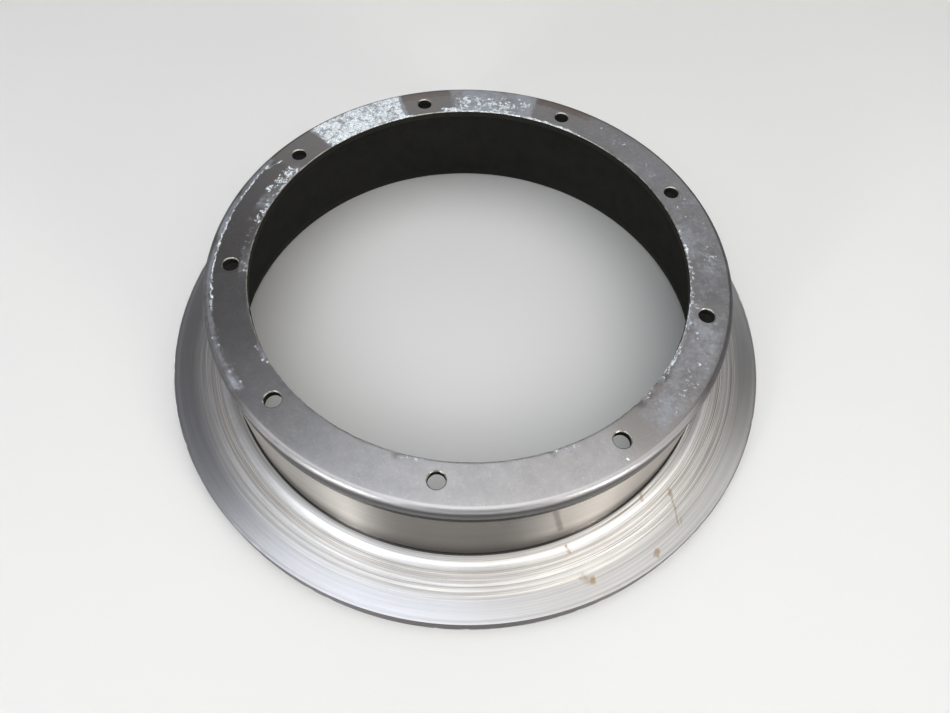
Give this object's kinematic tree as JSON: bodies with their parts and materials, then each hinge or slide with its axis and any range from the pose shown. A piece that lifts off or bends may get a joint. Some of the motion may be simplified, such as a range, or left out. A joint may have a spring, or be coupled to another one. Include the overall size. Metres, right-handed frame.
{
  "type": "aircraft brake disc",
  "caption": "Turned steel aircraft brake disc: a flat friction ring, a tall round hat and an inward flange drilled with a ring of bolt holes for the wheel.",
  "frame": {"origin": "centre of the friction ring's lower face, on the disc's axis", "axes": "+Z along the disc's axis from the friction ring up to the mounting flange; the first bolt hole lies on +Y"},
  "size_m": [0.2774, 0.2774, 0.0597],
  "materials": {
    "disc_steel": "turned steel, worn bright on the friction faces, dull and lightly corroded on the hat and flange"
  },
  "bodies": {
    "root": {"brake_disc": "disc_steel"}
  },
  "joints": []
}
